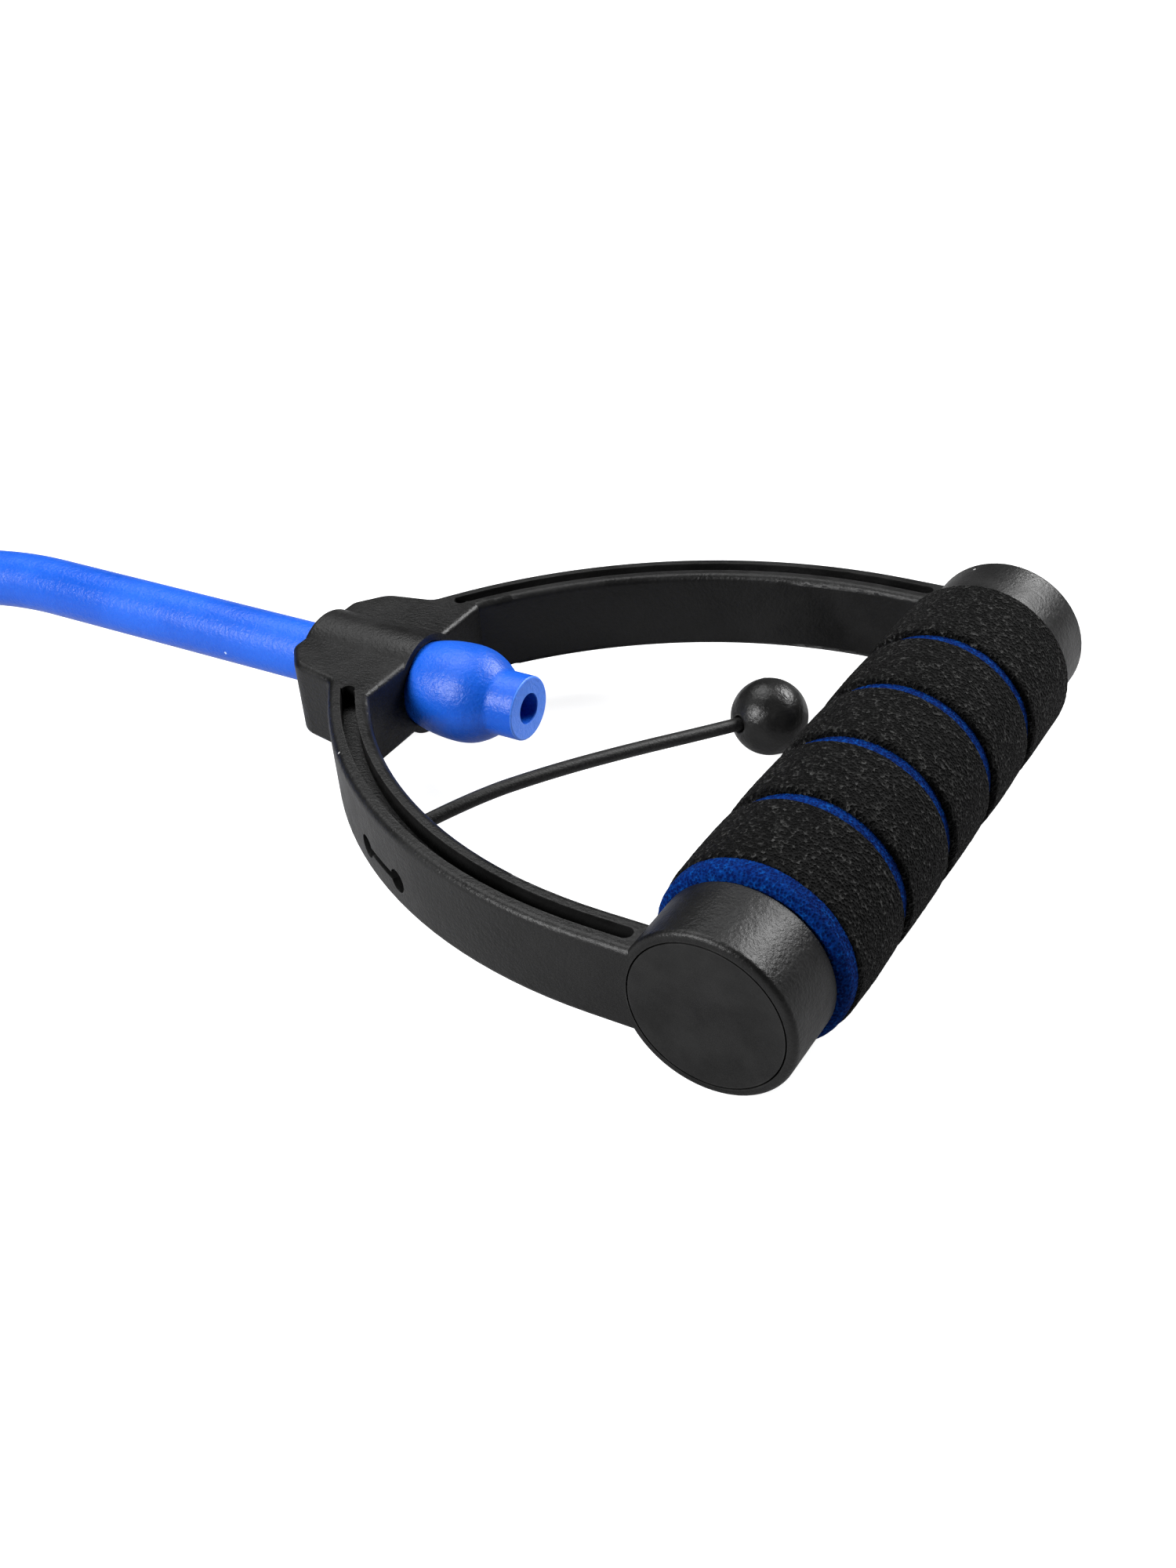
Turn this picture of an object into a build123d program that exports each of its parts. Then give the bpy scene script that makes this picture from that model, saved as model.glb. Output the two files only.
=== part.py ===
"""Resistance band: one elastic tube with a rigid D handle at each end.

Millimetres, +Z up.  The band lies on a surface at z = 0, halfway between its two handles, with the
tube along X.  Each handle is built in a frame of its own, with the grip along Y and the tube
leaving towards -X at the height of the grip's centre, and is then set at its end of the band.
"""

import os
from math import cos, hypot, pi, radians, sin, sqrt, tan

from build123d import *

# ---- driving dimensions -------------------------------------------------------------------------
TUBE_R = 7.0            # elastic tube, outside
TUBE_BORE_R = 3.5
TUBE_GAP = 0.3          # clearance of the tube in the collar
TUBE_CUT_X = -80.9      # cut end of the tube, inside the handle
TUBE_JOIN_X = -128.0    # where the tube's end piece meets the free tube, inside the collar
TUBE_CUT_ROUND = 0.5    # softened edge of the cut end

STOPPER_R = 8.5         # ball pushed into the tube's bore
STOPPER_X = -98.6
STOPPER_WALL = 2.4      # wall of the tube where it is stretched over the ball
BULB_TAIL = 19.4        # how far the swelling reaches into the collar
BULB_FRONT = 12.4       # how far it reaches towards the cut end
NECK_SWELL = 0.2        # how much thicker the neck stays

HANDLE_WIDTH = 142.5    # over both end housings
HOUSING_R = 17.25
HOUSING_LENGTH = 15.8
HOUSING_EDGE = 1.2      # rounding of the housing's outer edge
RIM_EDGE = 0.4          # rounding of its inner rim

ARM_BOW_R = 112.75      # outer radius of each bowed arm
ARM_BOW_X = -24.0       # where the bow meets its straight end
ARM_THICK = 8.85
ARM_HEIGHT = 18.2
ARM_EDGE = 1.5          # rounding of the arms' edges
ARM_END_X = -6.0        # the arms' ends, inside the housings
GROOVE_WIDTH = 3.2
GROOVE_TOP_DEPTH = 4.5
GROOVE_BOTTOM_DEPTH = 3.0
GROOVE_END_X = -17.5    # near the housing
GROOVE_START_Y = 21.5   # near the collar

COLLAR_OUT_X = -135.5
COLLAR_IN_X = -107.0
COLLAR_NOSE_Y = 11.0    # half width of the flat end
COLLAR_SHOULDER = (-130.0, 17.6)
WING_FLARE_Y = 19.8     # where the wings turn into the arms
WING_ROOT_Y = 23.1      # where the arms' bow begins
NOSE_ROUND = 3.0
SHOULDER_ROUND = 6.0
FLARE_ROUND = 3.0
RIDGE_R = 11.4          # half-round ridge over the tube
RIDGE_EDGE = 1.2

CAP_R = 15.1
CAP_THICK = 2.4
CAP_GAP = 0.3           # seam round the cap
SPIGOT_LENGTH = 3.0
SPIGOT_WALL = 1.6

CORE_R = 11.0           # stiff tube that carries the foam and turns in the housings
CORE_WALL = 2.0
CORE_FIT = 0.06         # radial running clearance in the housings
CORE_END_GAP = 0.5

FOAM_END_GAP = 0.4      # between the foam and each housing
SLEEVE_R = 18.4         # inner foam, seen in the grooves
SLEEVE_LIP_R = 19.0     # inner foam where it shows at the front end
SLEEVE_LIP = 3.9
SLEEVE_ROUND = 1.3
BAND_R = 19.6           # outer foam
BAND_GROOVE = 3.2
BAND_GROOVE_PITCH = 20.85
BAND_GROOVE_FIRST = -30.3
BAND_GROOVES = 4
BAND_ROUND = 0.6

SLOT_Z = -2.6           # bone-shaped pocket in the outside of the front arm
SLOT_LOBE_R = 2.5
SLOT_NECK = 1.8
SLOT_DEPTH = 4.6
SLOT_ANGLES = (25.7, 32.8)

CORD_R = 1.5            # pull cord
CORD_HOLE_R = 1.8
CORD_PIVOT_DEPTH = 1.4  # how far inside the arm's wall the cord bends
CORD_MOUTH_R = 3.5
CORD_STOP_R = 1.9       # knot that keeps the cord in the pocket
CORD_TAIL_R = 1.4       # cord between the knot and the bend, drawn thin in its hole
CORD_TAIL_GAP = 0.2     # between that tail and the part that swings
CORD_ROOT_ROUND = 1.2   # rounding of the swinging part's root
BALL_R = 8.6

HANDLE_PITCH = 661.0    # between the two grips as the band lies
COIL_X = -378.0         # centre of the coil, from the first grip
COIL_Y = -7.0
COIL_OUT_R = 75.0       # middle of the outer turn
COIL_SQUASH = 0.95      # corner radius of the coil's section, as a share of the tube's radius

ARC_SHARE = 0.45        # how much of the shorter run each arc of a cord takes
OVERCUT = 1.0           # how far a cut runs past the face that it opens
HANDLES = ("a", "b")

# ---- sizes that follow --------------------------------------------------------------------------
GRIP_Z = BAND_R                              # the grip's foam rests on the surface
HALF_WIDTH = HANDLE_WIDTH / 2
RIM_Y = HALF_WIDTH - HOUSING_LENGTH          # inner rim of each housing
ARM_BOW_Y = ARM_BOW_R - HALF_WIDTH           # centre of a bow, on the far side of the middle
ARM_IN_R = ARM_BOW_R - ARM_THICK
ARM_MID_R = ARM_BOW_R - ARM_THICK / 2
HALF_HEIGHT = ARM_HEIGHT / 2
BULB_R = STOPPER_R + STOPPER_WALL
CORE_HOLE_R = CORE_R + CORE_FIT
CAP_SEAT = CAP_THICK + CAP_GAP
COIL_IN_R = COIL_OUT_R - 2 * TUBE_R          # middle of the inner turn
CORE_HALF = HALF_WIDTH - CAP_SEAT - SPIGOT_LENGTH - CORE_END_GAP
FOAM_HALF = RIM_Y - FOAM_END_GAP

# Free route of the pull cord in the handle's frame: from its hole to the ball, which lies on the
# surface.  The first point is the bend in the hole, the last is the ball's centre.
CORD_ROUTE = [
    (-81.0, -47.0, -2.4),
    (-74.4, -32.5, -1.2),
    (-66.1, -15.9, -2.6),
    (-57.4, 1.2, -5.2),
    (-48.2, 19.1, -8.6),
    (-40.3, 33.9, BALL_R - GRIP_Z),
]

# Free route of the tube, from the first grip, at heights above the surface.  It dips from the
# first collar to the coil, and climbs from the coil's inner turn over the outer one to the second.
LEAD_A_ROUTE = [
    (TUBE_JOIN_X, 0.0, GRIP_Z),
    (-243.0, 0.0, GRIP_Z),
    (-283.0, -16.0, TUBE_R + 7.5),
    (-312.0, -44.0, TUBE_R + 2.5),
    (-334.0, -69.0, TUBE_R),
]
LEAD_B_ROUTE = [
    (-359.0, -67.5, TUBE_R + 1.0),
    (-394.0, -66.5, TUBE_R + 5.5),
    (-424.0, -52.0, TUBE_R + 12.0),
    (-450.0, -25.0, TUBE_R + 15.8),
    (-478.0, -8.0, GRIP_Z + 2.4),
    (-505.0, 0.0, GRIP_Z),
    (-HANDLE_PITCH - TUBE_JOIN_X, 0.0, GRIP_Z),
]


def bow_centre(side):
    """Centre of the bowed arm on one side of the handle."""
    return (ARM_BOW_X, -side * ARM_BOW_Y)


def on_bow(angle, radius, z=0.0, side=-1):
    """Point of an arm, by its angle from the arm's widest place and its distance from the centre."""
    x, y = bow_centre(side)
    return Vector(x - radius * sin(radians(angle)), y + side * radius * cos(radians(angle)), z)


def bow_disc(side, radius):
    return Pos(*bow_centre(side)) * Circle(radius)


def block(x0, x1, y0, y1):
    """Plan rectangle between two corners."""
    return Pos((x0 + x1) / 2, (y0 + y1) / 2) * Rectangle(x1 - x0, y1 - y0)


def along_x(radius, x0, x1):
    return Pos((x0 + x1) / 2, 0, 0) * Rot(0, 90, 0) * Cylinder(radius, x1 - x0)


def along_y(radius, y0, y1):
    return Pos(0, (y0 + y1) / 2, 0) * Rot(90, 0, 0) * Cylinder(radius, y1 - y0)


def radial(angle, z, radius, r0, r1):
    """Cylinder that runs straight through the front arm."""
    middle = on_bow(angle, (r0 + r1) / 2, z)
    way = (on_bow(angle, r1, z) - on_bow(angle, r0, z)).normalized()
    return Plane(origin=middle, z_dir=way) * Cylinder(radius, r1 - r0)


# ---- handle moulding ----------------------------------------------------------------------------
def yoke_plan():
    """Outline of the collar and both arms, open towards the grip."""
    root_x = ARM_BOW_X - sqrt(ARM_BOW_R**2 - (WING_ROOT_Y + ARM_BOW_Y) ** 2)
    steep = (WING_ROOT_Y + ARM_BOW_Y) / (ARM_BOW_X - root_x)
    flare = (root_x - (WING_ROOT_Y - WING_FLARE_Y) * steep, WING_FLARE_Y)
    face_y = sqrt(ARM_IN_R**2 - (COLLAR_IN_X - ARM_BOW_X) ** 2) - ARM_BOW_Y
    inner_y = HALF_WIDTH - ARM_THICK
    outer_mid = on_bow(30, ARM_BOW_R, side=1)
    inner_mid = on_bow(30, ARM_IN_R, side=1)
    half = [
        Line((COLLAR_OUT_X, 0), (COLLAR_OUT_X, COLLAR_NOSE_Y)),
        Line((COLLAR_OUT_X, COLLAR_NOSE_Y), COLLAR_SHOULDER),
        Line(COLLAR_SHOULDER, flare),
        Line(flare, (root_x, WING_ROOT_Y)),
        ThreePointArc((root_x, WING_ROOT_Y), outer_mid, (ARM_BOW_X, HALF_WIDTH)),
        Line((ARM_BOW_X, HALF_WIDTH), (ARM_END_X, HALF_WIDTH)),
        Line((ARM_END_X, HALF_WIDTH), (ARM_END_X, inner_y)),
        Line((ARM_END_X, inner_y), (ARM_BOW_X, inner_y)),
        ThreePointArc((ARM_BOW_X, inner_y), inner_mid, (COLLAR_IN_X, face_y)),
        Line((COLLAR_IN_X, face_y), (COLLAR_IN_X, 0)),
    ]
    other = [mirror(edge, about=Plane.XZ) for edge in half]
    plan = make_face([*half, *other])
    nose = (COLLAR_OUT_X, COLLAR_NOSE_Y)
    rounds = {COLLAR_SHOULDER: SHOULDER_ROUND, nose: NOSE_ROUND, flare: FLARE_ROUND}
    for (x, y), radius in rounds.items():
        corners = [v for v in plan.vertices() if hypot(v.X - x, abs(v.Y) - y) < 0.01]
        plan = fillet(corners, radius)
    return plan


def groove(side, z0, z1):
    """Long slot that follows an arm, with round ends."""
    ring = bow_disc(side, ARM_MID_R + GROOVE_WIDTH / 2) - bow_disc(side, ARM_MID_R - GROOVE_WIDTH / 2)
    start_x = ARM_BOW_X - sqrt(ARM_MID_R**2 - (GROOVE_START_Y + ARM_BOW_Y) ** 2)
    y0, y1 = sorted((side * GROOVE_START_Y, side * HALF_WIDTH))
    run = ring & block(COLLAR_OUT_X, ARM_BOW_X, y0, y1)
    mid_y = side * (HALF_WIDTH - ARM_THICK / 2)
    run += block(ARM_BOW_X, GROOVE_END_X, mid_y - GROOVE_WIDTH / 2, mid_y + GROOVE_WIDTH / 2)
    run += Pos(GROOVE_END_X, mid_y) * Circle(GROOVE_WIDTH / 2)
    run += Pos(start_x, side * GROOVE_START_Y) * Circle(GROOVE_WIDTH / 2)
    return Pos(0, 0, z0) * extrude(run, z1 - z0)


def bulb_profile(grow=0.0):
    """Outside of the tube where it is stretched over the stopper, as points of radius along X."""
    steps = [
        (-BULB_TAIL, TUBE_R),
        (-0.68 * BULB_TAIL, TUBE_R + 0.9),
        (-0.36 * BULB_TAIL, BULB_R - 1.0),
        (0.0, BULB_R),
        (0.52 * BULB_FRONT, BULB_R - 0.8),
        (0.81 * BULB_FRONT, TUBE_R + 1.0),
        (BULB_FRONT, TUBE_R + NECK_SWELL),
    ]
    return [(STOPPER_X + along, radius + grow) for along, radius in steps]


def turned(points_low, spline_points, points_high):
    """Solid of revolution about X, from a line, a smooth curve and another line."""
    outline = [*points_low]
    curve = Spline(*spline_points, tangents=[(1, 0), (1, 0)])
    lines = [Line(a, b) for a, b in zip(outline[:-1], outline[1:])]
    tail = [Line(a, b) for a, b in zip(points_high[:-1], points_high[1:])]
    face = make_face([*lines, curve, *tail])
    return revolve(face, Axis.X)


def seat():
    """Mouth of the collar that the bulb is drawn into: the bulb's own shape with clearance."""
    profile = bulb_profile(TUBE_GAP)
    start = (COLLAR_OUT_X - OVERCUT, profile[0][1])
    end = profile[-1]
    return turned(
        [(COLLAR_OUT_X - OVERCUT, 0), start, profile[0]],
        profile,
        [end, (end[0], 0), (COLLAR_OUT_X - OVERCUT, 0)],
    )


def bone_slot():
    """Pocket in the outside of the front arm: two round lobes joined by a narrow neck."""
    r0, r1 = ARM_BOW_R - SLOT_DEPTH, ARM_BOW_R + OVERCUT
    first, last = SLOT_ANGLES
    cut = radial(first, SLOT_Z, SLOT_LOBE_R, r0, r1) + radial(last, SLOT_Z, SLOT_LOBE_R, r0, r1)
    middle = (first + last) / 2
    spread = 2 * ARM_BOW_R * sin(radians((last - first) / 2))
    along = on_bow(last, ARM_BOW_R) - on_bow(first, ARM_BOW_R)
    place = Plane(origin=on_bow(middle, (r0 + r1) / 2, SLOT_Z), z_dir=(0, 0, 1), x_dir=along)
    return cut + place * Box(spread, r1 - r0, SLOT_NECK)


def cord_hole():
    """Hole for the pull cord with a flared mouth on the inside of the arm."""
    angle, z = SLOT_ANGLES[1], CORD_ROUTE[0][2]
    bend_r = ARM_IN_R + CORD_PIVOT_DEPTH
    hole = radial(angle, z, CORD_HOLE_R, bend_r - OVERCUT, ARM_BOW_R - SLOT_DEPTH + OVERCUT)
    low, high = on_bow(angle, ARM_IN_R - OVERCUT, z), on_bow(angle, bend_r, z)
    slope = (CORD_MOUTH_R - CORD_HOLE_R) / CORD_PIVOT_DEPTH
    wide = CORD_HOLE_R + slope * (CORD_PIVOT_DEPTH + OVERCUT)
    place = Plane(origin=(low + high) / 2, z_dir=(high - low).normalized())
    return hole + place * Cone(wide, CORD_HOLE_R, CORD_PIVOT_DEPTH + OVERCUT)


def housing(side):
    """Plain barrel at one end of the grip, before its bores."""
    barrel = along_y(HOUSING_R, RIM_Y, HALF_WIDTH)
    barrel = fillet(barrel.edges().filter_by(GeomType.CIRCLE).sort_by(Axis.Y)[-1], HOUSING_EDGE)
    barrel = fillet(barrel.edges().filter_by(GeomType.CIRCLE).sort_by(Axis.Y)[0], RIM_EDGE)
    return barrel if side > 0 else mirror(barrel, about=Plane.XZ)


def yoke():
    """Collar, arms and end housings: one moulding."""
    body = Pos(0, 0, -HALF_HEIGHT) * extrude(yoke_plan(), ARM_HEIGHT)
    flats = body.edges().group_by(Axis.Z)
    body = fillet(flats[-1] + flats[0], ARM_EDGE)
    ridge = along_x(RIDGE_R, COLLAR_OUT_X, COLLAR_IN_X)
    ridge = fillet(ridge.edges().filter_by(GeomType.CIRCLE).sort_by(Axis.X)[0], RIDGE_EDGE)
    body += ridge
    for side in (-1, 1):
        body += housing(side)
    for side in (-1, 1):
        y0, y1 = sorted((side * (HALF_WIDTH - CAP_SEAT), side * (HALF_WIDTH + OVERCUT)))
        body -= along_y(CAP_R + CAP_GAP, y0, y1)
        y0, y1 = sorted((side * (RIM_Y - OVERCUT), side * (HALF_WIDTH + OVERCUT)))
        body -= along_y(CORE_HOLE_R, y0, y1)
        body -= groove(side, HALF_HEIGHT - GROOVE_TOP_DEPTH, HALF_HEIGHT + OVERCUT)
        body -= groove(side, -HALF_HEIGHT - OVERCUT, -HALF_HEIGHT + GROOVE_BOTTOM_DEPTH)
    body -= seat()
    body -= bone_slot()
    body -= cord_hole()
    return body


# ---- the rest of a handle -----------------------------------------------------------------------
def cap(side):
    """Disc that closes a housing, with a ring that is pressed into the core's bore."""
    face_y = HALF_WIDTH
    disc = along_y(CAP_R, face_y - CAP_THICK, face_y)
    ring = along_y(CORE_R, face_y - CAP_SEAT - SPIGOT_LENGTH, face_y - CAP_THICK)
    ring -= along_y(CORE_R - SPIGOT_WALL, face_y - CAP_SEAT - SPIGOT_LENGTH, face_y - CAP_THICK)
    piece = disc + ring
    return piece if side > 0 else mirror(piece, about=Plane.XZ)


def core():
    """Stiff tube through the grip, whose ends turn in the housings."""
    return along_y(CORE_R, -CORE_HALF, CORE_HALF) - along_y(CORE_R - CORE_WALL, -CORE_HALF, CORE_HALF)


def sleeve():
    """Inner foam, with a fuller ring that stays bare at the front end."""
    lip_y = -FOAM_HALF + SLEEVE_LIP
    lip = along_y(SLEEVE_LIP_R, -FOAM_HALF, lip_y)
    lip = fillet(lip.edges().filter_by(GeomType.CIRCLE).sort_by(Axis.Y)[0], SLEEVE_ROUND)
    foam = lip + along_y(SLEEVE_R, lip_y, FOAM_HALF)
    return foam - along_y(CORE_R, -FOAM_HALF, FOAM_HALF)


def band_spans():
    """Where each ring of the outer foam starts and ends along the grip."""
    cuts = [BAND_GROOVE_FIRST + i * BAND_GROOVE_PITCH for i in range(BAND_GROOVES)]
    starts = [-FOAM_HALF + SLEEVE_LIP] + [c + BAND_GROOVE / 2 for c in cuts]
    ends = [c - BAND_GROOVE / 2 for c in cuts] + [FOAM_HALF]
    return list(zip(starts, ends))


def band(y0, y1):
    """One ring of the outer foam."""
    ring = along_y(BAND_R, y0, y1)
    ring = fillet(ring.edges().filter_by(GeomType.CIRCLE), BAND_ROUND)
    return ring - along_y(SLEEVE_R, y0, y1)


def tube_end():
    """End of the elastic tube: it runs through the collar and swells over the stopper."""
    profile = bulb_profile()
    end = profile[-1]
    outside = turned(
        [(TUBE_JOIN_X, 0), (TUBE_JOIN_X, TUBE_R), profile[0]],
        profile,
        [end, (TUBE_CUT_X, end[1]), (TUBE_CUT_X, 0), (TUBE_JOIN_X, 0)],
    )
    outside = fillet(outside.edges().filter_by(GeomType.CIRCLE).sort_by(Axis.X)[-1], TUBE_CUT_ROUND)
    cavity = Pos(STOPPER_X, 0, 0) * Sphere(STOPPER_R)
    return outside - along_x(TUBE_BORE_R, TUBE_JOIN_X, TUBE_CUT_X) - cavity


def stopper():
    return Pos(STOPPER_X, 0, 0) * Sphere(STOPPER_R)


def cord_stop():
    """Knot on the end of the pull cord, behind the pocket's floor."""
    angle, z = SLOT_ANGLES[1], CORD_ROUTE[0][2]
    floor_r = ARM_BOW_R - SLOT_DEPTH
    knot_r = floor_r + CORD_STOP_R
    knot = Pos(*on_bow(angle, knot_r, z)) * Sphere(CORD_STOP_R)
    root_r = ARM_IN_R + CORD_PIVOT_DEPTH + CORD_R
    tail = radial(angle, z, CORD_TAIL_R, root_r + CORD_TAIL_GAP, knot_r)
    return knot + tail


def swept(points, radius, name):
    """Round bar along straight runs joined by arcs as large as the runs allow."""
    points = [Vector(*p) for p in points]
    radii = []
    for before, here, after in zip(points[:-2], points[1:-1], points[2:]):
        half = radians((here - before).get_angle(after - here)) / 2
        shorter = min((here - before).length, (after - here).length)
        radii.append(ARC_SHARE * shorter / tan(half))
    path = FilletPolyline(*points, radius=radii)
    start = Plane(origin=points[0], z_dir=points[1] - points[0])
    bar = sweep(start * Circle(radius), path=path)
    print(name, "arcs", [round(r) for r in radii], "length", round(path.length, 1))
    print(name, "volume / (section x length)", round(bar.volume / (pi * radius**2 * path.length), 4))
    return bar


def pull_cord():
    """Pull cord from its bend in the arm to the ball's surface."""
    last, centre = Vector(*CORD_ROUTE[-2]), Vector(*CORD_ROUTE[-1])
    touch = centre - (centre - last).normalized() * (BALL_R - OVERCUT)
    bar = swept([*CORD_ROUTE[:-1], touch], CORD_R, "pull cord")
    root = bar.edges().filter_by(GeomType.CIRCLE).sort_by(Axis.Y)[0]
    return fillet(root, CORD_ROOT_ROUND) - pull_ball()


def pull_ball():
    return Pos(*CORD_ROUTE[-1]) * Sphere(BALL_R)


def handle_pieces():
    """Every piece that a handle has, with its own end of the tube."""
    pieces = {
        "handle_yoke": yoke(),
        "end_cap_front": cap(-1),
        "end_cap_back": cap(1),
        "grip_core": core(),
        "foam_sleeve": sleeve(),
        "tube_end": tube_end(),
        "tube_stopper": stopper(),
        "cord_stop": cord_stop(),
        "pull_cord": pull_cord(),
        "pull_ball": pull_ball(),
    }
    for number, (y0, y1) in enumerate(band_spans(), start=1):
        pieces[f"foam_band_{number}"] = band(y0, y1)
    return pieces


# ---- the tube between the handles ---------------------------------------------------------------
def coil():
    """Closed ring of the outer shape of the coiled tube: two turns side by side."""
    width = COIL_OUT_R - COIL_IN_R + 2 * TUBE_R
    section = Pos((COIL_IN_R + COIL_OUT_R) / 2, TUBE_R)
    section *= RectangleRounded(width, 2 * TUBE_R, TUBE_R * COIL_SQUASH)
    ring = revolve(Plane.XZ * section, Axis.Z)
    return Pos(COIL_X, COIL_Y, 0) * ring


def tube_pieces():
    ring = coil()
    return {
        "tube_lead_a": swept(LEAD_A_ROUTE, TUBE_R, "tube lead a") - ring,
        "tube_lead_b": swept(LEAD_B_ROUTE, TUBE_R, "tube lead b") - ring,
        "tube_coil": ring,
    }


def main():
    os.makedirs("parts", exist_ok=True)
    half_pitch = HANDLE_PITCH / 2
    pieces = handle_pieces()
    for handle in HANDLES:
        turn = 0 if handle == "a" else 180
        for name, piece in pieces.items():
            placed = Rot(0, 0, turn) * Pos(half_pitch, 0, GRIP_Z) * piece
            export_step(placed, f"parts/{name}_{handle}.step")
    for name, piece in tube_pieces().items():
        export_step(Pos(half_pitch, 0, 0) * piece, f"parts/{name}.step")


main()
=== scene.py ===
from math import cos, pi, radians, sin, tau

import bpy
from mathutils import Matrix, Vector, noise


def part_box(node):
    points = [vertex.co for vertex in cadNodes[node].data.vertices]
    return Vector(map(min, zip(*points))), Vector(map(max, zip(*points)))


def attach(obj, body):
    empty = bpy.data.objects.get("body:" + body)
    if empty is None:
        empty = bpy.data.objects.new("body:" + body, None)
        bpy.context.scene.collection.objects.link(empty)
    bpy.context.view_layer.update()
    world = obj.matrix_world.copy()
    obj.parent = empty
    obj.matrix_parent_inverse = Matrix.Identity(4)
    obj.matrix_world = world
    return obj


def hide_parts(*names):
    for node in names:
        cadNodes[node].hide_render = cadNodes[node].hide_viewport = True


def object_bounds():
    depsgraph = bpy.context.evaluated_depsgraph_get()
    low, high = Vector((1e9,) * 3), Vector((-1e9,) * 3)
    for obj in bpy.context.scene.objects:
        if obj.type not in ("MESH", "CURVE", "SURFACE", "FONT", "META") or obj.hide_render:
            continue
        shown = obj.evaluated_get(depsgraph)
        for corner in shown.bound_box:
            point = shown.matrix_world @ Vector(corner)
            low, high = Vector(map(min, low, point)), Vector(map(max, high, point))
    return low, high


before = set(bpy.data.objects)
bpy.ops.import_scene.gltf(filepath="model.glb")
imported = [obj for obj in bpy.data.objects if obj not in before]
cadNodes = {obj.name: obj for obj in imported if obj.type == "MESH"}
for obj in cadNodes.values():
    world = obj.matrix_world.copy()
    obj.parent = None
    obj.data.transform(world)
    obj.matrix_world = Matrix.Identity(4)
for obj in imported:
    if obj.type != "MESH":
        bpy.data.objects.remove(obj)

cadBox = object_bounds()
scene = bpy.context.scene

# both handles are the same, the second one turned half round
coreLow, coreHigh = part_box("grip_core_a")
gripCentre = (coreLow + coreHigh) / 2
handleTurn = {"a": 0.0, "b": pi}
print("frame loaded,", len(cadNodes), "CAD pieces")


def handleMatrix(handle):
    return Matrix.Rotation(handleTurn[handle], 4, "Z") @ Matrix.Translation(gripCentre)


def link(obj):
    scene.collection.objects.link(obj)
    return obj


# node helpers

def addNode(tree, kind, **settings):
    node = tree.nodes.new(kind)
    for key, value in settings.items():
        setattr(node, key, value)
    return node


def mathNode(tree, operation, a, b=None, c=None):
    # a, b and c are numbers or sockets
    node = addNode(tree, "ShaderNodeMath", operation=operation)
    for socket, value in zip(node.inputs, (a, b, c)):
        if value is None:
            continue
        if isinstance(value, bpy.types.NodeSocket):
            tree.links.new(value, socket)
        else:
            socket.default_value = value
    return node.outputs[0]


# camera, floor and light

camera = {
    "place": Vector((0.1181, -0.2749, 0.2082)),   # from the first grip
    "azimuth": 34.007,
    "elevation": 34.041,
    "roll": -5.244,
    "lens": 42.31,
    "sensor": 36.0,
}

# directions are from the first grip
lights = {
    "front": {"towards": (-0.42, -0.74, 0.52), "away": 0.9, "size": (0.40, 0.32), "power": 11.0},
    "back": {"towards": (0.32, 0.70, 0.62), "away": 0.9, "size": (0.50, 0.26), "power": 12.0},
    "top": {"towards": (-0.45, 0.25, 0.86), "away": 1.2, "size": (0.70, 0.70), "power": 9.0},
}

studio = {
    "worldLight": 0.016,      # what the surroundings add all round
    "worldGlow": 1.0,         # how bright they look behind the floor
    "floorSize": 8.0,
    "floorColour": (0.42, 0.42, 0.425, 1),
    "floorRough": 0.8,
    "floorGlow": 0.92,       # lights the floor itself, as a lit table does
}


def addCamera():
    data = bpy.data.cameras.new("camera")
    data.lens = camera["lens"]
    data.sensor_width = camera["sensor"]
    data.clip_start = 0.01
    cam = link(bpy.data.objects.new("camera", data))
    turn = (
        Matrix.Rotation(radians(camera["azimuth"]), 4, "Z")
        @ Matrix.Rotation(radians(90 - camera["elevation"]), 4, "X")
        @ Matrix.Rotation(radians(camera["roll"]), 4, "Z")
    )
    cam.matrix_world = Matrix.Translation(gripCentre + camera["place"]) @ turn
    scene.camera = cam


def addLights():
    for name, spec in lights.items():
        data = bpy.data.lights.new(name, "AREA")
        data.shape = "RECTANGLE"
        data.size, data.size_y = spec["size"]
        data.energy = spec["power"]
        lamp = link(bpy.data.objects.new(name, data))
        way = Vector(spec["towards"]).normalized()
        lamp.location = gripCentre + way * spec["away"]
        lamp.rotation_euler = way.to_track_quat("Z", "Y").to_euler()
    world = bpy.data.worlds.new("studio")
    world.use_nodes = True
    backdrop = world.node_tree.nodes["Background"]
    backdrop.inputs["Color"].default_value = (1, 1, 1, 1)
    seen = addNode(world.node_tree, "ShaderNodeLightPath").outputs["Is Camera Ray"]
    glow, light = studio["worldGlow"], studio["worldLight"]
    strength = mathNode(world.node_tree, "MULTIPLY_ADD", seen, glow, light)
    world.node_tree.links.new(strength, backdrop.inputs["Strength"])
    scene.world = world
    scene.view_settings.view_transform = "Standard"


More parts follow.
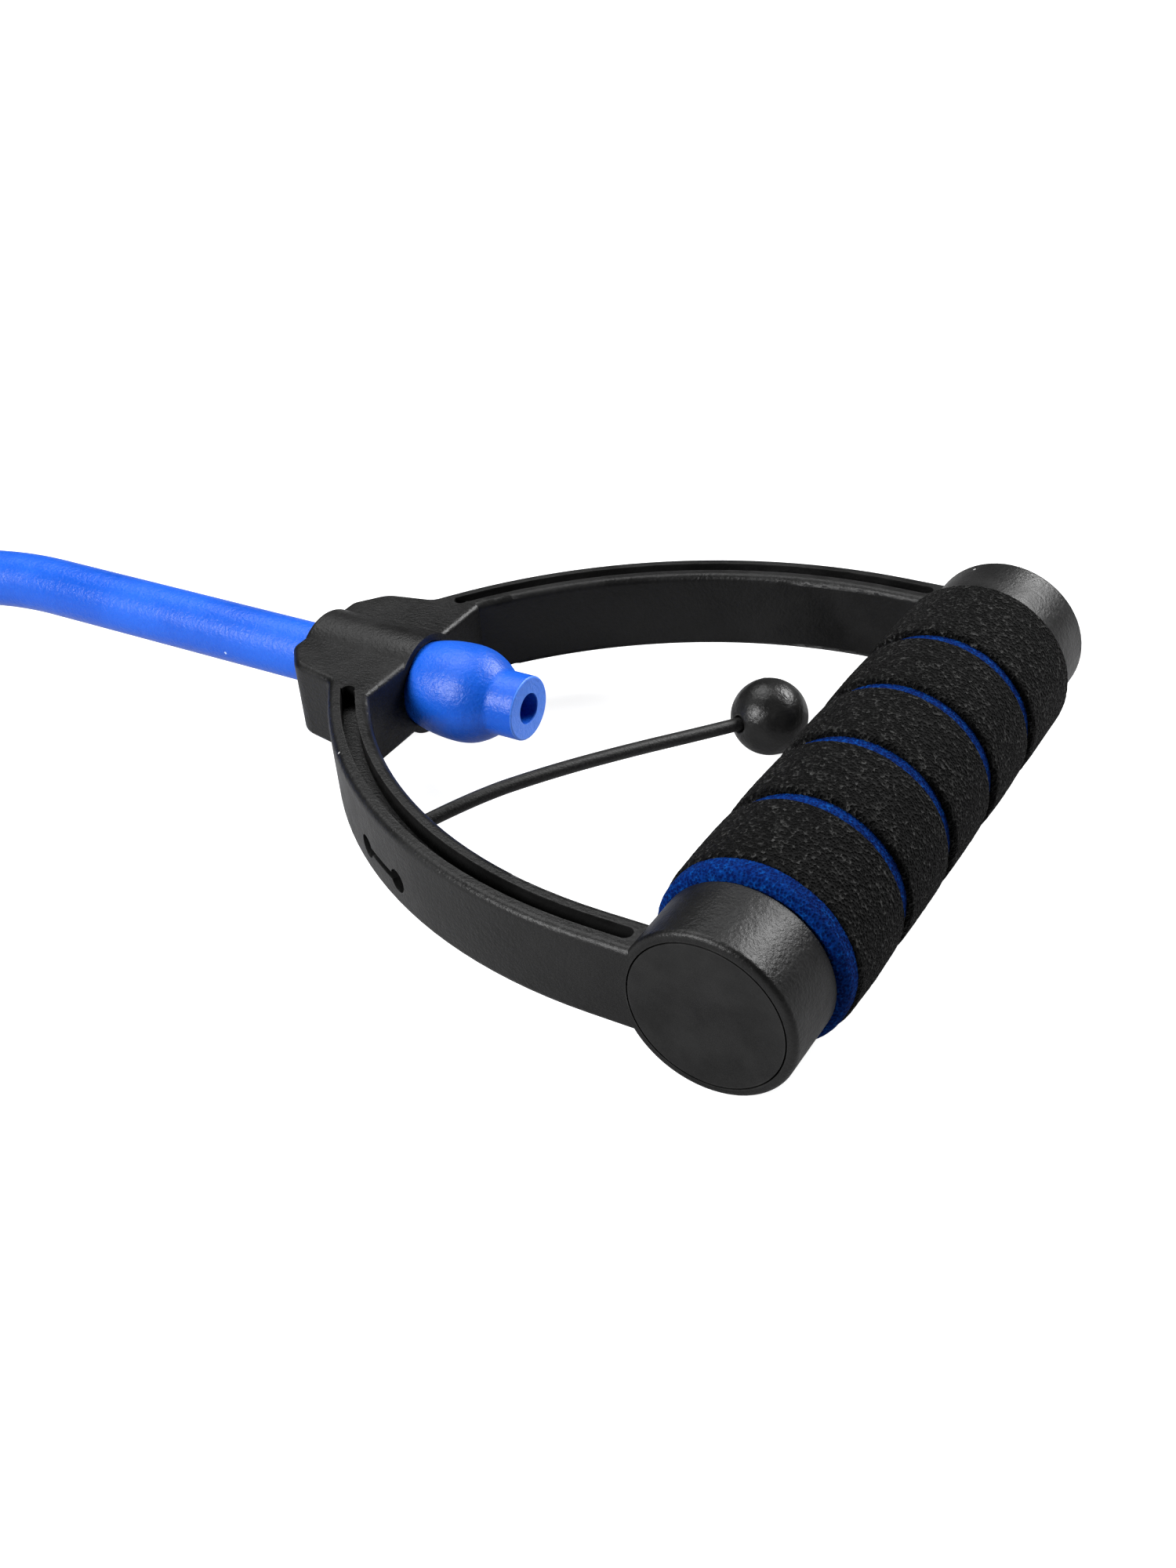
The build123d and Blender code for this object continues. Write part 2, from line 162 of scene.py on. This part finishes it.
def addFloor():
    half = studio["floorSize"] / 2
    mesh = bpy.data.meshes.new("floor")
    corners = [(-half, -half, 0), (half, -half, 0), (half, half, 0), (-half, half, 0)]
    mesh.from_pydata(corners, [], [(0, 1, 2, 3)])
    floor = link(bpy.data.objects.new("floor", mesh))
    floor.location.z = cadBox[0][2]
    material = bpy.data.materials.new("floor")
    material.use_nodes = True
    shader = material.node_tree.nodes["Principled BSDF"]
    shader.inputs["Base Color"].default_value = studio["floorColour"]
    shader.inputs["Roughness"].default_value = studio["floorRough"]
    seen = addNode(material.node_tree, "ShaderNodeLightPath").outputs["Is Camera Ray"]
    glow = mathNode(material.node_tree, "MULTIPLY", seen, studio["floorGlow"])
    shader.inputs["Emission Color"].default_value = (1, 1, 1, 1)
    material.node_tree.links.new(glow, shader.inputs["Emission Strength"])
    mesh.materials.append(material)


addCamera()
addLights()
addFloor()
print("camera, lights and floor set")


# shared shader groups

def startGroup(name, inputs, outputs):
    # inputs are (label, value), outputs are labels, and all are plain numbers
    group = bpy.data.node_groups.new(name, "ShaderNodeTree")
    for label, value in inputs:
        socket = group.interface.new_socket(label, in_out="INPUT", socket_type="NodeSocketFloat")
        socket.default_value = value
    for label in outputs:
        group.interface.new_socket(label, in_out="OUTPUT", socket_type="NodeSocketFloat")
    return group, group.nodes.new("NodeGroupInput"), group.nodes.new("NodeGroupOutput")


def rangeNode(tree, value, low, high, toLow=0.0, toHigh=1.0):
    node = addNode(tree, "ShaderNodeMapRange", clamp=True)
    tree.links.new(value, node.inputs["Value"])
    node.inputs["From Min"].default_value = low
    node.inputs["From Max"].default_value = high
    node.inputs["To Min"].default_value = toLow
    node.inputs["To Max"].default_value = toHigh
    return node.outputs["Result"]


def noiseNode(tree, place, scale, detail=2.0, rough=0.5):
    # scale is a number or a socket
    node = addNode(tree, "ShaderNodeTexNoise")
    tree.links.new(place, node.inputs["Vector"])
    node.inputs["Detail"].default_value = detail
    node.inputs["Roughness"].default_value = rough
    if isinstance(scale, bpy.types.NodeSocket):
        tree.links.new(scale, node.inputs["Scale"])
    else:
        node.inputs["Scale"].default_value = scale
    return node.outputs["Fac"]


def objectPlace(tree):
    return addNode(tree, "ShaderNodeTexCoord").outputs["Object"]


def mouldGrainGroup():
    # spark-eroded grain of a moulding: a height, and slow patches for colour and gloss
    group, given, out = startGroup(
        "mouldGrain",
        [("Grain Scale", 1500.0), ("Patch Scale", 60.0)],
        ["Height", "Patch", "Mottle"],
    )
    place = objectPlace(group)
    fine = noiseNode(group, place, given.outputs["Grain Scale"], 3.0, 0.6)
    half = mathNode(group, "MULTIPLY", given.outputs["Grain Scale"], 0.37)
    medium = noiseNode(group, place, half, 2.0)
    height = mathNode(group, "MULTIPLY_ADD", medium, 0.7, fine)
    patch = noiseNode(group, place, given.outputs["Patch Scale"], 3.0, 0.6)
    group.links.new(height, out.inputs["Height"])
    group.links.new(rangeNode(group, patch, 0.35, 0.65), out.inputs["Patch"])
    group.links.new(rangeNode(group, fine, 0.3, 0.7), out.inputs["Mottle"])
    return group


def foamCellGroup():
    # open cells cut by the grinding of a foam grip: a height, a shade that is dark
    # in the pores, and a glint on some cell walls
    group, given, out = startGroup(
        "foamCells",
        [("Cell Scale", 2200.0), ("Clump Scale", 300.0)],
        ["Height", "Shade", "Glint"],
    )
    place = objectPlace(group)
    cells = addNode(group, "ShaderNodeTexVoronoi", feature="F1")
    group.links.new(place, cells.inputs["Vector"])
    group.links.new(given.outputs["Cell Scale"], cells.inputs["Scale"])
    clump = noiseNode(group, place, given.outputs["Clump Scale"], 3.0, 0.7)
    # cell walls stand up between the centres of the cells
    wall = rangeNode(group, cells.outputs["Distance"], 0.25, 0.75)
    shade = mathNode(group, "MULTIPLY_ADD", clump, 1.1, mathNode(group, "MULTIPLY", wall, 0.5))
    height = mathNode(group, "MULTIPLY_ADD", clump, 1.2, wall)
    bright = addNode(group, "ShaderNodeSeparateColor")
    group.links.new(cells.outputs["Color"], bright.inputs["Color"])
    glint = mathNode(group, "MULTIPLY", rangeNode(group, bright.outputs["Green"], 0.75, 1.0), wall)
    group.links.new(height, out.inputs["Height"])
    group.links.new(rangeNode(group, shade, 0.55, 1.15), out.inputs["Shade"])
    group.links.new(glint, out.inputs["Glint"])
    return group


def dustGroup():
    # a few pale specks, a fraction of a millimetre across
    group, given, out = startGroup(
        "dustSpecks",
        [("Spacing Scale", 130.0), ("Speck Size", 0.045), ("Share", 0.12)],
        ["Mask"],
    )
    spots = addNode(group, "ShaderNodeTexVoronoi", feature="F1")
    group.links.new(objectPlace(group), spots.inputs["Vector"])
    group.links.new(given.outputs["Spacing Scale"], spots.inputs["Scale"])
    near = mathNode(group, "LESS_THAN", spots.outputs["Distance"], given.outputs["Speck Size"])
    pick = addNode(group, "ShaderNodeSeparateColor")
    group.links.new(spots.outputs["Color"], pick.inputs["Color"])
    chosen = mathNode(group, "LESS_THAN", pick.outputs["Red"], given.outputs["Share"])
    group.links.new(mathNode(group, "MULTIPLY", near, chosen), out.inputs["Mask"])
    return group


def edgeGroup():
    # pale line along the edges of a moulding: partly rubbed wear, partly a painted highlight where
    # the edges catch light
    group, given, out = startGroup(
        "edgeWearAndPaintedHighlight",
        [("Width", 0.0006), ("Break Up", 240.0)],
        ["Mask"],
    )
    bevel = addNode(group, "ShaderNodeBevel", samples=4)
    group.links.new(given.outputs["Width"], bevel.inputs["Radius"])
    surface = addNode(group, "ShaderNodeNewGeometry")
    lean = addNode(group, "ShaderNodeVectorMath", operation="DOT_PRODUCT")
    group.links.new(bevel.outputs["Normal"], lean.inputs[0])
    group.links.new(surface.outputs["Normal"], lean.inputs[1])
    edge = rangeNode(group, lean.outputs["Value"], 0.97, 0.80)
    broken = noiseNode(group, objectPlace(group), given.outputs["Break Up"], 3.0)
    breakUp = rangeNode(group, broken, 0.35, 0.65)
    group.links.new(mathNode(group, "MULTIPLY", edge, breakUp), out.inputs["Mask"])
    return group


effects = {
    "grain": mouldGrainGroup(),
    "foam": foamCellGroup(),
    "dust": dustGroup(),
    "edge": edgeGroup(),
}
print("shader groups built")


# materials

def startMaterial(name):
    material = bpy.data.materials.new(name)
    material.use_nodes = True
    tree = material.node_tree
    return material, tree, tree.nodes["Principled BSDF"]


def effect(tree, name, **values):
    node = addNode(tree, "ShaderNodeGroup", node_tree=effects[name])
    for label, value in values.items():
        node.inputs[label].default_value = value
    return node.outputs


def mixColour(tree, factor, first, second):
    # first and second are colours or colour sockets
    node = addNode(tree, "ShaderNodeMix", data_type="RGBA")
    for socket, value in ((node.inputs[6], first), (node.inputs[7], second)):
        if isinstance(value, bpy.types.NodeSocket):
            tree.links.new(value, socket)
        else:
            socket.default_value = (*value, 1)
    tree.links.new(factor, node.inputs[0])
    return node.outputs[2]


def setBump(tree, shader, height, strength, distance):
    bump = addNode(tree, "ShaderNodeBump")
    bump.inputs["Strength"].default_value = strength
    bump.inputs["Distance"].default_value = distance
    tree.links.new(height, bump.inputs["Height"])
    tree.links.new(bump.outputs["Normal"], shader.inputs["Normal"])


def addDust(tree, body, values, cover, colour):
    # specks of dust over a body colour
    speck = effect(tree, "dust", **values)["Mask"]
    return mixColour(tree, mathNode(tree, "MULTIPLY", speck, cover), body, colour)


def grainOf(tree, spec):
    return effect(
        tree, "grain", **{"Grain Scale": spec["grainScale"], "Patch Scale": spec["patchScale"]}
    )


def plastic(name, spec):
    # moulded plastic: grain, gloss in patches, pale edges from rubbed wear and a painted edge
    # highlight, and a little dust
    material, tree, shader = startMaterial(name)
    grain = grainOf(tree, spec)
    body = mixColour(tree, grain["Patch"], spec["dark"], spec["light"])
    # pale edge line: partly rubbed wear, partly a painted highlight
    edge = effect(tree, "edge", **{"Width": spec["edgeWidth"]})["Mask"]
    edgeWearAndPaintedHighlightMix = mathNode(tree, "MULTIPLY", edge, spec["edgeWearAndPaintedHighlightShare"])
    body = mixColour(tree, edgeWearAndPaintedHighlightMix, body, spec["edgeWearAndPaintedHighlightColour"])
    body = addDust(tree, body, {"Share": spec["dustShare"]}, 0.7, (0.45, 0.45, 0.45))
    tree.links.new(body, shader.inputs["Base Color"])
    rough = rangeNode(tree, grain["Patch"], 0.0, 1.0, spec["roughLow"], spec["roughHigh"])
    tree.links.new(rough, shader.inputs["Roughness"])
    shader.inputs["Specular IOR Level"].default_value = spec["specular"]
    setBump(tree, shader, grain["Height"], spec["bump"], spec["bumpDepth"])
    return material


handlePlastic = {
    "dark": (0.003, 0.003, 0.003), "light": (0.007, 0.007, 0.007),
    "edgeWearAndPaintedHighlightColour": (0.06, 0.06, 0.06), "edgeWearAndPaintedHighlightShare": 0.3, "edgeWidth": 0.0007,
    "grainScale": 1500.0, "patchScale": 70.0, "roughLow": 0.36, "roughHigh": 0.48,
    "specular": 0.25, "bump": 0.7, "bumpDepth": 0.00018, "dustShare": 0.16,
}
capPlastic = {
    **handlePlastic,
    "dark": (0.004, 0.004, 0.004), "light": (0.011, 0.011, 0.011),
    "grainScale": 1200.0, "patchScale": 110.0, "roughLow": 0.44, "roughHigh": 0.6,
    "edgeWearAndPaintedHighlightShare": 0.25, "bump": 0.25, "dustShare": 0.03,
}
corePlastic = {**handlePlastic, "edgeWearAndPaintedHighlightShare": 0.1, "dustShare": 0.0}
ballPlastic = {
    **handlePlastic,
    "dark": (0.006, 0.006, 0.006), "light": (0.011, 0.011, 0.011),
    "grainScale": 900.0, "patchScale": 160.0, "roughLow": 0.30, "roughHigh": 0.42,
    "edgeWearAndPaintedHighlightShare": 0.0, "bump": 0.7, "bumpDepth": 0.00022, "dustShare": 0.03,
}


def foam(name, spec):
    material, tree, shader = startMaterial(name)
    cells = effect(
        tree, "foam", **{"Cell Scale": spec["cellScale"], "Clump Scale": spec["clumpScale"]}
    )
    body = mixColour(tree, cells["Shade"], spec["pore"], spec["wall"])
    glint = mathNode(tree, "MULTIPLY", cells["Glint"], spec["glint"])
    body = mixColour(tree, glint, body, spec["glintColour"])
    dust = {"Share": spec["dustShare"], "Spacing Scale": 110.0}
    body = addDust(tree, body, dust, 0.8, (0.6, 0.6, 0.6))
    tree.links.new(body, shader.inputs["Base Color"])
    shader.inputs["Roughness"].default_value = spec["rough"]
    shader.inputs["Specular IOR Level"].default_value = spec["specular"]
    setBump(tree, shader, cells["Height"], spec["bump"], spec["bumpDepth"])
    return material


blackFoam = {
    "pore": (0.0002, 0.0002, 0.0002), "wall": (0.006, 0.006, 0.006),
    "glint": 1.0, "glintColour": (0.050, 0.050, 0.049),
    "cellScale": 1600.0, "clumpScale": 700.0, "rough": 0.75, "specular": 0.07,
    "bump": 1.0, "bumpDepth": 0.0006, "dustShare": 0.16,
}
blueFoam = {
    "pore": (0.0003, 0.005, 0.052), "wall": (0.0006, 0.024, 0.150),
    "glint": 0.5, "glintColour": (0.003, 0.09, 0.36),
    "cellScale": 1900.0, "clumpScale": 900.0, "rough": 0.85, "specular": 0.04,
    "bump": 0.6, "bumpDepth": 0.00022, "dustShare": 0.06,
}

tubeRubber = {
    "dark": (0.001, 0.066, 0.46), "light": (0.002, 0.086, 0.55),
    "bloom": (0.05, 0.22, 0.80), "bloomShare": 0.10,
    "roughLow": 0.34, "roughHigh": 0.44, "specular": 0.36, "subsurface": 0.06,
    "grainScale": 1300.0, "patchScale": 45.0, "bump": 0.85, "bumpDepth": 0.00020,
    "cutFrom": 0.2493, "cutPaleAndPaintedLight": (0.085, 0.25, 0.92),   # the cut ends, this far out, are painted paler: partly the paler cut rubber, partly painted light from the right
}


def rubberTube(name, spec):
    # soft rubber: milky inside, a faint chalky bloom and a skin like orange peel
    material, tree, shader = startMaterial(name)
    grain = grainOf(tree, spec)
    body = mixColour(tree, grain["Patch"], spec["dark"], spec["light"])
    bloom = mathNode(tree, "MULTIPLY", grain["Mottle"], spec["bloomShare"])
    body = mixColour(tree, bloom, body, spec["bloom"])
    body = addDust(tree, body, {"Share": 0.05}, 0.7, (0.6, 0.7, 0.9))
    # the cut ends get a paler colour: partly the cut rubber's own colour, partly painted light from
    # the right
    along = addNode(tree, "ShaderNodeSeparateXYZ")
    tree.links.new(objectPlace(tree), along.inputs["Vector"])
    fromMiddle = mathNode(tree, "ABSOLUTE", along.outputs["X"])
    cut = mathNode(tree, "GREATER_THAN", fromMiddle, spec["cutFrom"])
    body = mixColour(tree, cut, body, spec["cutPaleAndPaintedLight"])
    tree.links.new(body, shader.inputs["Base Color"])
    rough = rangeNode(tree, grain["Patch"], 0.0, 1.0, spec["roughLow"], spec["roughHigh"])
    tree.links.new(rough, shader.inputs["Roughness"])
    shader.inputs["Specular IOR Level"].default_value = spec["specular"]
    shader.inputs["Subsurface Weight"].default_value = spec["subsurface"]
    shader.inputs["Subsurface Radius"].default_value = (0.3, 0.5, 1.0)
    shader.inputs["Subsurface Scale"].default_value = 0.002
    setBump(tree, shader, grain["Height"], spec["bump"], spec["bumpDepth"])
    return material


cordRubber = {
    "dark": (0.003, 0.003, 0.003), "light": (0.018, 0.018, 0.018), "rough": 0.48, "specular": 0.24,
    "streakScale": 3200.0, "bump": 0.7, "bumpDepth": 0.00016,
}


def rubberCord(name, spec):
    # drawn rubber, with fine streaks along its length
    material, tree, shader = startMaterial(name)
    stretch = addNode(tree, "ShaderNodeMapping")
    stretch.inputs["Rotation"].default_value = (0, 0, radians(-63))
    stretch.inputs["Scale"].default_value = (0.12, 1, 1)
    tree.links.new(objectPlace(tree), stretch.inputs["Vector"])
    streaks = noiseNode(tree, stretch.outputs["Vector"], spec["streakScale"], 2.0, 0.6)
    shade = rangeNode(tree, streaks, 0.35, 0.7)
    tree.links.new(mixColour(tree, shade, spec["dark"], spec["light"]), shader.inputs["Base Color"])
    shader.inputs["Roughness"].default_value = spec["rough"]
    shader.inputs["Specular IOR Level"].default_value = spec["specular"]
    setBump(tree, shader, streaks, spec["bump"], spec["bumpDepth"])
    return material


materials = {
    "handle_plastic": plastic("handlePlastic", handlePlastic),
    "cap_plastic": plastic("capPlastic", capPlastic),
    "core_plastic": plastic("corePlastic", corePlastic),
    "stopper_plastic": plastic("stopperPlastic", corePlastic),
    "ball_plastic": plastic("ballPlastic", ballPlastic),
    "black_foam": foam("blackFoam", blackFoam),
    "blue_foam": foam("blueFoam", blueFoam),
    "blue_tube": rubberTube("tubeRubber", tubeRubber),
    "black_cord": rubberCord("cordRubber", cordRubber),
}
print("materials built")


def finishPiece(obj, slotName, body):
    obj.data.materials.clear()
    obj.data.materials.append(materials[slotName])
    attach(obj, body)
    return obj


# the elastic tube

# from the first grip along the surface, heights above the surface
tube = {
    "radius": 0.007,
    "length": 1.305,
    "exitX": -0.1355,         # outer face of the collar
    "leadA": [
        (-0.1280, 0.0, 0.0196),
        (-0.2000, 0.0, 0.0196),
        (-0.2430, 0.0, 0.0196),
        (-0.2830, -0.0160, 0.0145),
        (-0.3120, -0.0440, 0.0095),
        (-0.3340, -0.0690, 0.0070),
    ],
    "coilCentre": (-0.378, -0.007),
    "outerTurn": 0.075,
    "innerTurn": 0.061,
    "startAngle": -55.0,
    "pointsPerTurn": 18,
    "shift": (300.0, 365.0),  # where the first turn moves in to the second
    "coilEnd": 640.0,
    "leadB": [
        (-0.3140, -0.0010, 0.0135),
        (-0.3135, -0.0270, 0.0200),
        (-0.3260, -0.0510, 0.0215),
        (-0.3470, -0.0680, 0.0215),
        (-0.3740, -0.0755, 0.0212),
        (-0.4020, -0.0715, 0.0212),
        (-0.4280, -0.0550, 0.0220),
        (-0.4530, -0.0270, 0.0225),
        (-0.4790, -0.0070, 0.0215),
        (-0.5050, 0.0, 0.0196),
        (-0.5330, 0.0, 0.0196),
    ],
}

pullCord = {
    "radius": 0.0015,
    "length": 0.083,
    "route": [
        (-0.0810, -0.0470, -0.0024),
        (-0.0744, -0.0325, -0.0012),
        (-0.0661, -0.0159, -0.0026),
        (-0.0574, 0.0012, -0.0052),
        (-0.0482, 0.0191, -0.0086),
        (-0.0403, 0.0339, -0.0110),
    ],
}


def smooth(share):
    share = min(1.0, max(0.0, share))
    return share * share * (3 - 2 * share)


def coilPoints():
    # clockwise from above: one turn outside, then a second beside it
    points = []
    step = 360.0 / tube["pointsPerTurn"]
    lift = 1 / cos(radians(step / 2))
    low, high = tube["shift"]
    middleX, middleY = tube["coilCentre"]
    run = step * 0.8
    while run < tube["coilEnd"]:
        inward = smooth((run - low) / (high - low))
        radius = tube["outerTurn"] + (tube["innerTurn"] - tube["outerTurn"]) * inward
        angle = radians(tube["startAngle"] - run)
        x = middleX + radius * lift * cos(angle)
        y = middleY + radius * lift * sin(angle)
        points.append((x, y, tube["radius"]))
        run += step
    return points


def splineCurve(name, points, radius, sides):
    curve = bpy.data.curves.new(name, "CURVE")
    curve.dimensions = "3D"
    curve.bevel_depth = radius
    curve.bevel_resolution = sides
    curve.resolution_u = 16
    curve.use_fill_caps = True
    spline = curve.splines.new("NURBS")
    spline.points.add(len(points) - 1)
    for point, place in zip(spline.points, points):
        point.co = (*place, 1)
    spline.order_u = 3
    spline.use_endpoint_u = True
    return link(bpy.data.objects.new(name, curve))


def addTube():
    points = [*tube["leadA"], *coilPoints(), *tube["leadB"]]
    placed = [(gripCentre.x + x, y, cadBox[0][2] + z) for x, y, z in points]
    piece = splineCurve("elasticTube", placed, tube["radius"], 14)
    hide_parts("tube_lead_a", "tube_coil", "tube_lead_b")
    finishPiece(piece, "blue_tube", "tube")


addTube()
print("elastic tube laid")


# pull cord and its ball

ball = {
    "radius": 0.0086,
    "holeRadius": 0.00175,
    "holeDepth": 0.0016,
    "lip": 0.0004,
    "seam": 0.00006,
    "steps": 48,             # from the hole round to the gate mark
    "gateAngle": 0.12,       # half width of the gate mark, in radians
    "cordInside": 0.0012,    # how far the cord runs into the hole
}


def lathe(name, profile, sides, matrix):
    # profile is (radius, along) from one end to the other, turned about the local Z axis
    verts, faces = [], []
    for radius, along in profile:
        for i in range(sides):
            angle = tau * i / sides
            verts.append((radius * cos(angle), radius * sin(angle), along))
    rings = len(profile)
    for ring in range(rings - 1):
        for i in range(sides):
            j = (i + 1) % sides
            low, high = ring * sides, (ring + 1) * sides
            faces.append((low + i, low + j, high + j, high + i))
    faces.append(tuple(reversed(range(sides))))
    faces.append(tuple((rings - 1) * sides + i for i in range(sides)))
    mesh = bpy.data.meshes.new(name)
    mesh.from_pydata(verts, [], faces)
    mesh.transform(matrix)
    mesh.polygons.foreach_set("use_smooth", [True] * len(mesh.polygons))
    mesh.update()
    return link(bpy.data.objects.new(name, mesh))


def ballProfile():
    # along the cord: a countersunk hole, the sphere with a faint moulding seam, a small gate mark
    r = ball["radius"]
    hole = ball["holeRadius"]
    lip = ball["lip"]
    mouth = (r * r - (hole + lip) ** 2) ** 0.5
    profile = [(hole * 0.5, mouth - ball["holeDepth"]), (hole, mouth - ball["holeDepth"])]
    profile += [(hole, mouth - 2 * lip), (hole + lip * 0.3, mouth - lip * 0.6)]
    steps = ball["steps"]
    start = (hole + lip) / r
    for i in range(steps + 1):
        angle = start + (pi - ball["gateAngle"] - start) * i / steps
        bump = ball["seam"] if i == steps // 2 else 0.0
        profile.append(((r + bump) * sin(angle), (r + bump) * cos(angle)))
    profile.append((r * 0.06, -r * 0.985))
    return profile


def addPullCord(handle):
    matrix = handleMatrix(handle)
    route = [Vector(p) for p in pullCord["route"]]
    centre = route[-1]
    towards = (route[-2] - centre).normalized()
    route[-1] = centre + towards * (ball["radius"] - ball["cordInside"])
    placed = [matrix @ point for point in route]
    cordPiece = splineCurve(f"pullCord_{handle}", placed, pullCord["radius"], 8)
    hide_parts(f"pull_cord_{handle}")
    finishPiece(cordPiece, "black_cord", f"pull_{handle}")
    spin = towards.to_track_quat("Z", "Y").to_matrix().to_4x4()
    ballPlace = matrix @ Matrix.Translation(centre) @ spin
    ballPiece = lathe(f"pullBall_{handle}", ballProfile(), 96, ballPlace)
    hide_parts(f"pull_ball_{handle}")
    finishPiece(ballPiece, "ball_plastic", f"pull_{handle}")


for handle in handleTurn:
    addPullCord(handle)
print("pull cords and balls laid")


# foam grips

foamShape = {
    "sides": 260,
    "step": 0.0007,          # between rings along the grip
    "wobble": 0.00016,       # slow unevenness of the ground surface
    "wobbleScale": 90.0,
    "grain": 0.00008,        # cells that show on the outline
    "grainScale": 1400.0,
    "frontRound": 0.0013,
    "backRound": 0.0007,
    "lipRound": 0.0019,
    "lipTuck": 0.0012,       # where the lip runs in under the first ring
    "crown": 0.00012,        # fullness of each ring between its grooves
    "grooveDepth": 0.0012,
    "sleeveRings": 40,
}


def roundedProfile(low, high, inner, outer, roundLow, roundHigh, crown):
    # (radius, along) from the bore at one end, over the outside, to the bore at the other end
    profile = [(inner, low)]
    for i in range(9):
        angle = pi / 2 * i / 8
        profile.append((outer - roundLow * (1 - sin(angle)), low + roundLow * (1 - cos(angle))))
    start, stop = low + roundLow, high - roundHigh
    count = max(2, round((stop - start) / foamShape["step"]))
    for i in range(1, count):
        share = i / count
        profile.append((outer + crown * sin(pi * share), start + (stop - start) * share))
    for i in range(9):
        angle = pi / 2 * (1 - i / 8)
        profile.append((outer - roundHigh * (1 - sin(angle)), high - roundHigh * (1 - cos(angle))))
    profile.append((inner, high))
    return profile


def foamRing(name, profile, matrix, seed):
    # a closed ring about the grip's axis, roughened like ground foam
    sides = foamShape["sides"]
    shift = Vector((seed * 0.37, seed * 0.71, seed * 0.53))
    verts, faces = [], []
    last = len(profile) - 1
    for number, (radius, along) in enumerate(profile):
        for i in range(sides):
            angle = tau * i / sides
            out = Vector((cos(angle), 0, sin(angle)))
            point = out * radius + Vector((0, along, 0))
            if 0 < number < last:
                slow = noise.noise((point + shift) * foamShape["wobbleScale"])
                quick = noise.noise((point + shift) * foamShape["grainScale"])
                point += out * (slow * foamShape["wobble"] + quick * foamShape["grain"])
            verts.append(point)
    rings = len(profile)
    for ring in range(rings):
        for i in range(sides):
            j = (i + 1) % sides
            k = (ring + 1) % rings
            faces.append((ring * sides + i, ring * sides + j, k * sides + j, k * sides + i))
    mesh = bpy.data.meshes.new(name)
    mesh.from_pydata(verts, [], faces)
    mesh.transform(matrix)
    mesh.polygons.foreach_set("use_smooth", [True] * len(mesh.polygons))
    mesh.update()
    return link(bpy.data.objects.new(name, mesh))


def spanOf(node):
    # where a piece of the first handle's grip starts and ends, and its radius
    low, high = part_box(node)
    return low.y - gripCentre.y, high.y - gripCentre.y, (high.z - low.z) / 2


def addGrip(handle):
    matrix = handleMatrix(handle)
    bore = (coreHigh.z - coreLow.z) / 2
    low, high, lipRadius = spanOf("foam_sleeve_a")
    bands = [spanOf(f"foam_band_{n}_a") for n in range(1, 6)]
    sleeveRadius = bands[0][2] - foamShape["grooveDepth"]
    # blue sleeve: a puffy lip at the front, then plain under the black rings
    lipEnd = bands[0][0] + foamShape["frontRound"]
    lipRound, lipTuck = foamShape["lipRound"], foamShape["lipTuck"]
    lip = roundedProfile(low, lipEnd, bore, lipRadius, lipRound, lipTuck, 0.0)
    count = foamShape["sleeveRings"]
    body = [(sleeveRadius, lipEnd + (high - lipEnd) * i / count) for i in range(1, count + 1)]
    sleeve = foamRing(f"foamSleeve_{handle}", [*lip[:-1], *body, (bore, high)], matrix, 0)
    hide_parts(f"foam_sleeve_{handle}")
    finishPiece(sleeve, "blue_foam", f"grip_{handle}")
    for number, (start, stop, radius) in enumerate(bands, start=1):
        front, back = foamShape["frontRound"], foamShape["backRound"]
        profile = roundedProfile(start, stop, sleeveRadius, radius, front, back, foamShape["crown"])
        ring = foamRing(f"foamBand_{number}_{handle}", profile, matrix, number)
        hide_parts(f"foam_band_{number}_{handle}")
        finishPiece(ring, "black_foam", f"grip_{handle}")


for handle in handleTurn:
    addGrip(handle)
print("foam grips shaped")


# finishes of the CAD pieces

cadFinish = {
    "handle_yoke": "handle_plastic",
    "end_cap_front": "cap_plastic",
    "end_cap_back": "cap_plastic",
    "grip_core": "core_plastic",
    "tube_end": "blue_tube",
    "tube_stopper": "stopper_plastic",
    "cord_stop": "black_cord",
}


def paintCad():
    for piece, slotName in cadFinish.items():
        for handle in handleTurn:
            for holder in cadNodes[f"{piece}_{handle}"].material_slots:
                holder.material = materials[slotName]


paintCad()
print("CAD pieces painted")
